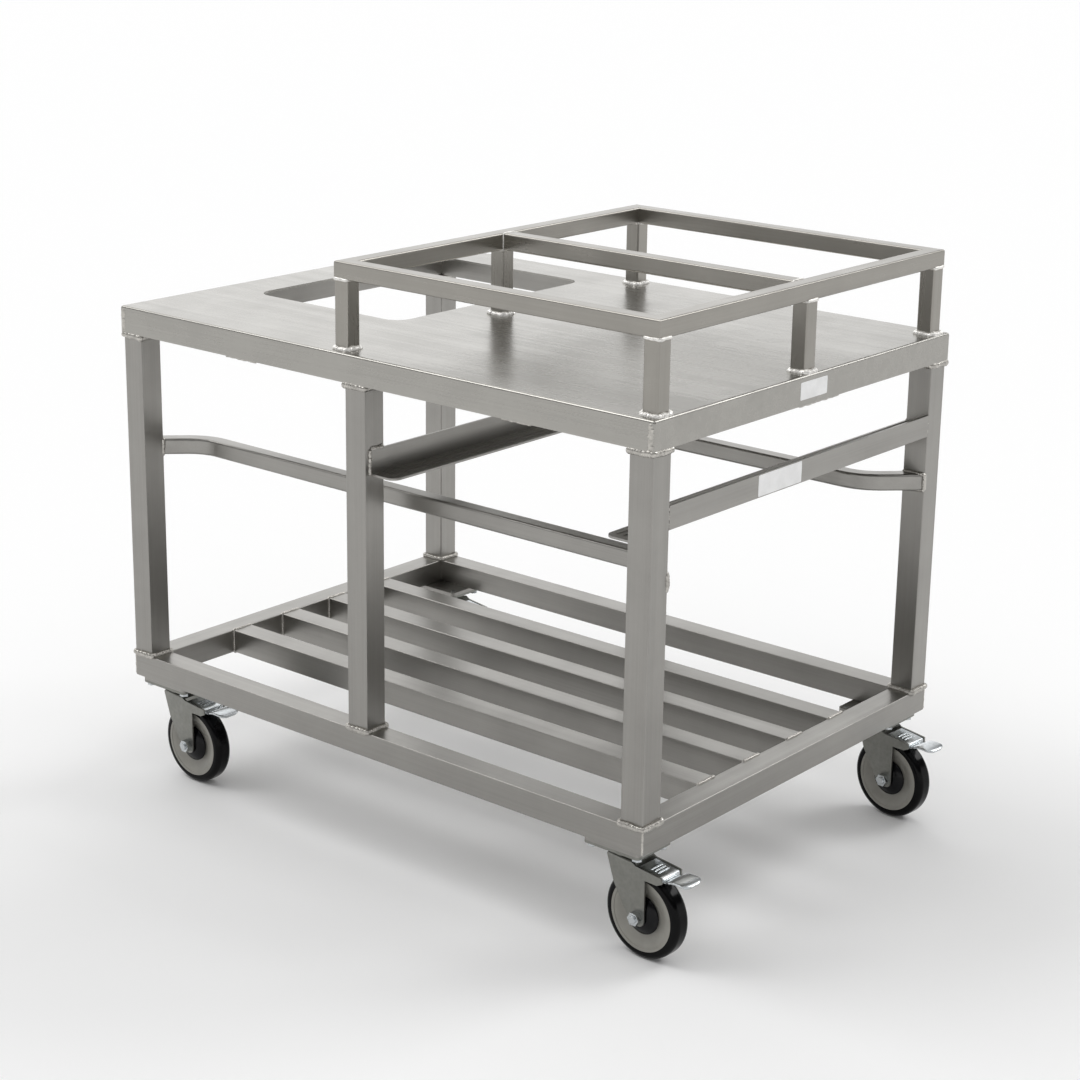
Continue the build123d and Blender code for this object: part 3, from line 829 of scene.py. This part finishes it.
def pressed_strip(line, half_widths, thickness, squareness, arch=0.0):
    """Grid of a strip of pressed steel, along a line in a caster's upright plane.

    A superellipse, as wide as the strip and as high as its thickness, is carried along the line,
    square to it. It sags towards its sides by arch times the square of the share of the width. The
    first and last rings close on the line.
    """
    sides = 48
    turn = np.linspace(0, 2 * math.pi, sides, endpoint=False)
    power = 2 / squareness
    across = np.sign(np.cos(turn)) * np.abs(np.cos(turn)) ** power
    upward = np.sign(np.sin(turn)) * np.abs(np.sin(turn)) ** power
    tangent = np.gradient(line, axis=0)
    tangent /= np.linalg.norm(tangent, axis=1)[:, None]
    lift = 0.5 * thickness * upward[None, :] - arch * across[None, :] ** 2
    x = line[:, :1] - tangent[:, 1:] * lift
    y = np.asarray(half_widths)[:, None] * across[None, :]
    z = line[:, 1:] + tangent[:, :1] * lift
    grid = np.stack([x, y, z], axis=-1)
    ends = np.stack([line[:, 0], np.zeros(len(line)), line[:, 1]], axis=-1)[[0, -1]]
    first, last = (np.broadcast_to(end, grid.shape[1:]) for end in ends)
    return np.concatenate([first[None], grid, last[None]])


def pedal_tongue():
    """Grid of the tongue that the foot treads on.

    Its line dips behind the fork's arms, rises and rolls over at the tip. Its sides swell out past
    the arms as a smooth step does, and its tip rounds off as a superellipse does.
    """
    line = rounded_line([
        (0.0620, 0.1276), (0.0760, 0.1266), (0.0830, 0.1268), (0.0900, 0.1312),
        (0.0970, 0.1326), (0.1080, 0.1324), (0.1140, 0.1314), (0.1183, 0.1292),
    ])
    neck, breadth = 0.0155, 0.0200
    swell_start, swell_length = 0.0800, 0.0100
    tip_start, tip_cut, tip_power = 0.1085, 0.84, 2.4
    thickness, squareness, arch = 0.0042, 5, 0.0006
    x = line[:, 0]
    swell = np.clip((x - swell_start) / swell_length, 0, 1)
    past_tip = np.clip((x - tip_start) / (x[-1] - tip_start), 0, 1)
    half_widths = neck + (breadth - neck) * swell ** 2 * (3 - 2 * swell)
    half_widths = half_widths * (1 - tip_cut * past_tip ** tip_power) ** (1 / tip_power)
    return pressed_strip(line, half_widths, thickness, squareness, arch)


def pad_top(x, z, place):
    """Height of the pad's upper face at a place: a straight line that falls past the trunnions."""
    rise, slope = 0.0052, -0.0917
    return z + rise + slope * (place - x)


def pedal_pad(x, z, half_width):
    """Grids of the pad over the trunnions at x and z, with its end bent down, and of its brake shoe."""
    sheet, squareness = 0.0025, 9
    start, end = 0.0366, 0.0765
    lip, lip_top, lip_foot = 0.0771, 0.1300, 0.1270
    shoe, shoe_foot = 0.06525, 0.1236
    pad_line = rounded_line([
        (start, pad_top(x, z, start) - sheet / 2), (end, pad_top(x, z, end) - sheet / 2),
        (lip, lip_top), (lip, lip_foot),
    ])
    shoe_line = np.linspace((shoe, pad_top(x, z, x) - sheet), (shoe, shoe_foot), 12)
    return [
        pressed_strip(line, np.full(len(line), half_width), sheet, squareness)
        for line in (pad_line, shoe_line)
    ]


def pedal_bars(x, z):
    """Grids of the bars pressed up out of the pad, each a round ridge across it."""
    places = (0.0514, 0.0574, 0.0634)
    half_length, half_width, height, squareness = 0.0118, 0.0017, 0.0032, 3
    grids = []
    for place in places:
        near, far = place - half_width, place + half_width
        line = np.linspace((near, pad_top(x, z, near)), (far, pad_top(x, z, far)), 8)
        grids.append(pressed_strip(line, np.full(len(line), half_length), height, squareness))
    return grids


def pedal_trunnions(x, z, half_width):
    """Grids of the sleeve under the pad and of the pin that rocks in the fork's arms."""
    sleeve_radius, pin_radius, pin_reach = 0.0040, 0.0030, 0.0018
    reach = half_width + pin_reach
    return [rod(x, z, -half_width, half_width, sleeve_radius), rod(x, z, -reach, reach, pin_radius)]


class CART_OT_pedals(Operator):
    """Press the brake pedals: an embossed pad, a shoe over the tread and a tongue to tread on"""

    bl_idname = "cart.pedals"
    bl_label = "Brake pedals"

    def execute(self, context):
        half_width = 0.0186
        for corner in CORNERS:
            x, z = caster_spot(corner, "brake_press")
            grids = [
                *pedal_pad(x, z, half_width), pedal_tongue(),
                *pedal_trunnions(x, z, half_width), *pedal_bars(x, z),
            ]
            pedal = caster_piece(
                "pressed_pedal", corner, grids, False, "bright_zinc_plate", "brake"
            )
            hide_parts(f"caster_{corner}_brake_pedal")
        return {"FINISHED"}


def turned(x, z, outline):
    """Grid of a closed outline, in radius and distance along the axle, turned round the axle."""
    sides = 96
    turn = np.linspace(0, 2 * math.pi, sides, endpoint=False)
    radius = outline[:, :1]
    along = np.broadcast_to(outline[:, 1:], (len(outline), sides))
    return np.stack([x + radius * np.cos(turn), along, z + radius * np.sin(turn)], axis=-1)


def core_section():
    """Outline of the wheel core's section: hub, dished web and rim, alike on both sides.

    The web rises from the hub to the rim as a smooth step does, and the rim's inner edge is round.
    """
    # Radii
    bore, hub, disc, rim_inner, rim = 0.00505, 0.0092, 0.0280, 0.0475, 0.0520
    # Distances from the wheel's middle plane, where each side's outline starts and ends a little off it
    foot, hub_top, web_top, rim_top = 0.004, 0.0187, 0.0066, 0.0140
    lip_height, lip_lean = 0.0009, 0.0002
    lip_foot = rim_top - lip_height
    share = np.linspace(0, 1, 14)
    rise = share ** 2 * (3 - 2 * share)
    dish = np.stack([disc + (rim_inner - disc) * share, web_top + (lip_foot - web_top) * rise], axis=1)
    lip = rounded_line([(rim_inner, lip_foot), (rim_inner + lip_lean, rim_top), (rim, rim_top)], 3)
    hub_side = [(bore, foot), (bore, hub_top), (hub, hub_top), (hub, web_top)]
    side = np.vstack([hub_side, dish, lip, [(rim, foot)]])
    return np.vstack([side, side[::-1] * (1, -1)])


def guard_section():
    """Outline of a thread guard's section: a dome that falls as a power of the share of its radius."""
    # Radii
    hub, disc, edge_round = 0.00925, 0.0280, 0.0003
    # Distances from the wheel's middle plane
    foot, edge, crest, edge_drop = 0.0091, 0.0110, 0.0177, 0.0004
    dome_power = 2.2
    share = np.linspace(0, 1, 16)
    radius = hub + (disc - edge_round - hub) * share
    dome = np.stack([radius, edge + (crest - edge) * (1 - share ** dome_power)], axis=1)
    return np.vstack([[(hub, foot)], dome, [(disc, edge - edge_drop), (disc, foot)]])


class CART_OT_wheels(Operator):
    """Mould the wheel cores, whose webs are dished in a smooth curve, and the domed thread guards"""

    bl_idname = "cart.wheels"
    bl_label = "Wheel cores and guards"

    def execute(self, context):
        for corner in CORNERS:
            x, z = caster_spot(corner, "wheel_spin")
            cores = [turned(x, z, core_section())]
            core = caster_piece(
                "dished_core", corner, cores, True, "grey_polyolefin", "wheel"
            )
            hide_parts(f"caster_{corner}_wheel_core")
            domes = [turned(x, z, guard_section() * (1, side)) for side in (1, -1)]
            guards = caster_piece(
                "domed_guards", corner, domes, True, "black_nylon", "wheel"
            )
            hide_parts(f"caster_{corner}_thread_guards")
        return {"FINISHED"}


class CART_OT_threads(Operator):
    """Cut the thread on the end of each axle bolt, past its locking nut"""

    bl_idname = "cart.threads"
    bl_label = "Axle threads"

    def execute(self, context):
        # The bolt is M10, and its tip stands 2.5 mm out of the nut, 33.5 mm from the wheel's middle
        bolt_radius, pitch, depth = 0.005, 0.0015, 0.0005
        tip = -0.0335
        past_tip, length = 0.0002, 0.0030
        for corner in CORNERS:
            x, z = caster_spot(corner, "wheel_spin")
            thread = rod(x, z, tip - past_tip, tip + length, bolt_radius, pitch, depth)
            caster_piece(
                "axle_thread", corner, [thread], False,
                "bright_zinc_plate", "swivel",
            )
        return {"FINISHED"}


# Labels


def label_plate(centre, width, height, thickness):
    """Grid of a thin upright label on a right face.

    Rings of a rectangle with round corners: closed at the middle of the back, along the wall, up to
    the full thickness, a little inside the edge, and closed at the middle of the front.
    """
    corner, step = 0.002, 0.001
    ring = loop_path(width / 2, height / 2, corner, step)
    scales = (0.0, 1.0, 1.0, 0.985, 0.0)
    depths = (0.0, 0.0, 0.8 * thickness, thickness, thickness)
    rows = [
        np.column_stack([np.full(len(ring), depth), ring * scale])
        for scale, depth in zip(scales, depths)
    ]
    return np.stack(rows) + np.array(centre), False


class CART_OT_labels(Operator):
    """Stick two blank labels on the right side, one on the deck's edge and one on the stop bar"""

    bl_idname = "cart.labels"
    bl_label = "Labels"

    def execute(self, context):
        thickness = 0.0003
        front = node_box("deck_rail_front")[0][1]
        grids = []
        for node, (distance, *size) in (("deck_sheet", DECK_LABEL), ("tray_stop_bar", BAR_LABEL)):
            low, high, middle = node_box(node)
            grids.append(label_plate((high[0], front + distance, middle[2]), *size, thickness))
        vertices, faces = join_grids(grids)
        link_piece("blank_labels", vertices, faces, "white_vinyl", CART)
        return {"FINISHED"}


# Stage


def direction(azimuth, elevation):
    """Unit vector that points along an azimuth, turned from +X, and an elevation above the horizon."""
    level = math.cos(elevation)
    return Vector((level * math.cos(azimuth), level * math.sin(azimuth), math.sin(elevation)))


def build_camera(stage):
    """Camera where the photograph was taken from, measured from the frame's front left corner."""
    corner = node_box("deck_rail_front")[0]
    data = bpy.data.cameras.new("photo_camera")
    data.lens = stage.focal_length
    data.sensor_width = 36.0
    data.shift_x = stage.shift_x
    data.shift_y = stage.shift_y
    data.clip_end = 100
    camera = bpy.data.objects.new("photo_camera", data)
    view = direction(stage.azimuth, stage.elevation)
    right = view.cross(Vector((0, 0, 1))).normalized()
    up = right.cross(view)
    rolled_right = math.cos(stage.roll) * right + math.sin(stage.roll) * up
    rolled_up = -math.sin(stage.roll) * right + math.cos(stage.roll) * up
    turn = Matrix((rolled_right, rolled_up, -view)).transposed()
    place = (corner[0] + stage.right, corner[1] - stage.front, stage.height)
    camera.matrix_world = Matrix.Translation(place) @ turn.to_4x4()
    bpy.context.scene.collection.objects.link(camera)
    bpy.context.scene.camera = camera


def build_lamp(name, azimuth, elevation, spread, irradiance):
    """Broad far lamp, lit from a direction in degrees, as soft as a window of that spread."""
    data = bpy.data.lights.new(name, "SUN")
    data.angle = math.radians(spread)
    data.energy = irradiance
    lamp = bpy.data.objects.new(name, data)
    azimuth = math.radians(azimuth)
    elevation = math.radians(elevation)
    source = direction(azimuth, elevation)
    lamp.matrix_world = source.to_track_quat("Z", "Y").to_matrix().to_4x4()
    bpy.context.scene.collection.objects.link(lamp)


def build_world(stage):
    """Studio light by direction: pale horizon, grey walls, white ceiling, and a glow behind the cart."""
    world = bpy.data.worlds.new("studio")
    world.use_nodes = True
    tree = world.node_tree
    tree.nodes.clear()
    look = add_node(tree, "ShaderNodeTexCoord", {}).outputs["Generated"]
    height = add_node(tree, "ShaderNodeSeparateXYZ", {"Vector": look}).outputs["Z"]
    # The walls and the ceiling each fade in over a band of heights, as a smooth step does
    walls = add_node(tree, "ShaderNodeMapRange", {
        "Value": height, "From Min": 0.19, "From Max": 0.32,
    }, interpolation_type="SMOOTHSTEP")
    ceiling = add_node(tree, "ShaderNodeMapRange", {
        "Value": height, "From Min": 0.45, "From Max": 0.80,
    }, interpolation_type="SMOOTHSTEP")
    # The glow fades in with the cosine of the angle from its middle, which is behind the cart
    glow_middle = (-0.80, 0.50, 0.34)
    nearness = add_node(tree, "ShaderNodeVectorMath", {0: look, 1: glow_middle}, operation="DOT_PRODUCT")
    glow = add_node(tree, "ShaderNodeMapRange", {
        "Value": nearness.outputs["Value"], "From Min": 0.66, "From Max": 0.98,
    }, interpolation_type="SMOOTHSTEP")
    low_sky = add_node(tree, "ShaderNodeMix", {
        FACTOR: walls.outputs["Result"], COLOUR_A: tuple(stage.horizon), COLOUR_B: tuple(stage.flank),
    }, data_type="RGBA")
    sky = add_node(tree, "ShaderNodeMix", {
        FACTOR: ceiling.outputs["Result"], COLOUR_A: low_sky.outputs[COLOUR_RESULT],
        COLOUR_B: tuple(stage.zenith),
    }, data_type="RGBA")
    low_level = add_node(tree, "ShaderNodeMapRange", {
        "Value": walls.outputs["Result"], "To Min": stage.lift * stage.level, "To Max": stage.level,
    })
    level = add_node(tree, "ShaderNodeMapRange", {
        "Value": glow.outputs["Result"], "To Min": low_level.outputs["Result"],
        "To Max": stage.glow * stage.level,
    })
    lit = add_node(tree, "ShaderNodeMix", {
        FACTOR: glow.outputs["Result"], COLOUR_A: sky.outputs[COLOUR_RESULT],
        COLOUR_B: tuple(stage.zenith),
    }, data_type="RGBA")
    light = add_node(tree, "ShaderNodeBackground", {
        "Color": lit.outputs[COLOUR_RESULT], "Strength": level.outputs["Result"],
    })
    add_node(tree, "ShaderNodeOutputWorld", {"Surface": light.outputs["Background"]})
    bpy.context.scene.world = world


def build_floor(stage):
    """Pale floor that runs far out past the cart."""
    tree = material_tree("studio_floor")
    shader = add_node(tree, "ShaderNodeBsdfDiffuse", {"Color": tuple(stage.floor)})
    add_node(tree, "ShaderNodeOutputMaterial", {"Surface": shader.outputs["BSDF"]})
    half = 30.0
    corners = [(-half, -half, 0), (half, -half, 0), (half, half, 0), (-half, half, 0)]
    mesh = bpy.data.meshes.new("floor")
    mesh.from_pydata(corners, [], [(0, 1, 2, 3)])
    mesh.materials.append(bpy.data.materials["studio_floor"])
    floor = bpy.data.objects.new("floor", mesh)
    bpy.context.scene.collection.objects.link(floor)


class CART_OT_stage(Operator):
    """Set up the floor, the studio light and the camera at the photograph's angle"""

    bl_idname = "cart.stage"
    bl_label = "Stage"

    def execute(self, context):
        stage = settings()[2]
        build_floor(stage)
        build_world(stage)
        build_lamp("left_lamp", azimuth=207, elevation=50, spread=32, irradiance=stage.window)
        build_lamp("right_lamp", azimuth=66, elevation=38, spread=28, irradiance=stage.window)
        build_camera(stage)
        context.scene.view_settings.view_transform = "Standard"
        return {"FINISHED"}


class CART_PT_panel(Panel):
    """The cart's operators and settings"""

    bl_idname = "CART_PT_panel"
    bl_label = "Bus Cart"
    bl_space_type = "VIEW_3D"
    bl_region_type = "UI"
    bl_category = "Bus Cart"

    def draw(self, context):
        for operator in OPERATORS:
            self.layout.operator(operator.bl_idname)
        for group in settings():
            for key in group.__annotations__:
                self.layout.prop(group, key)


OPERATORS = (
    CART_OT_finishes,
    CART_OT_post_welds,
    CART_OT_rack_welds,
    CART_OT_slat_welds,
    CART_OT_fitting_welds,
    CART_OT_deck_seams,
    CART_OT_pedals,
    CART_OT_wheels,
    CART_OT_threads,
    CART_OT_labels,
    CART_OT_stage,
)
GROUPS = {"cart_welds": CART_PG_welds, "cart_finish": CART_PG_finish, "cart_stage": CART_PG_stage}


def register():
    """Register the settings, the operators and the panel."""
    for name, group in GROUPS.items():
        bpy.utils.register_class(group)
        setattr(bpy.types.Scene, name, PointerProperty(type=group))
    for operator in OPERATORS:
        bpy.utils.register_class(operator)
    bpy.utils.register_class(CART_PT_panel)


def unregister():
    """Take back everything that register added."""
    bpy.utils.unregister_class(CART_PT_panel)
    for operator in reversed(OPERATORS):
        bpy.utils.unregister_class(operator)
    for name, group in GROUPS.items():
        delattr(bpy.types.Scene, name)
        bpy.utils.unregister_class(group)


def main():
    """Build the dressed cart and its stage."""
    register()
    for operator in OPERATORS:
        group, name = operator.bl_idname.split(".")
        getattr(getattr(bpy.ops, group), name)()


if __name__ == "__main__":
    main()
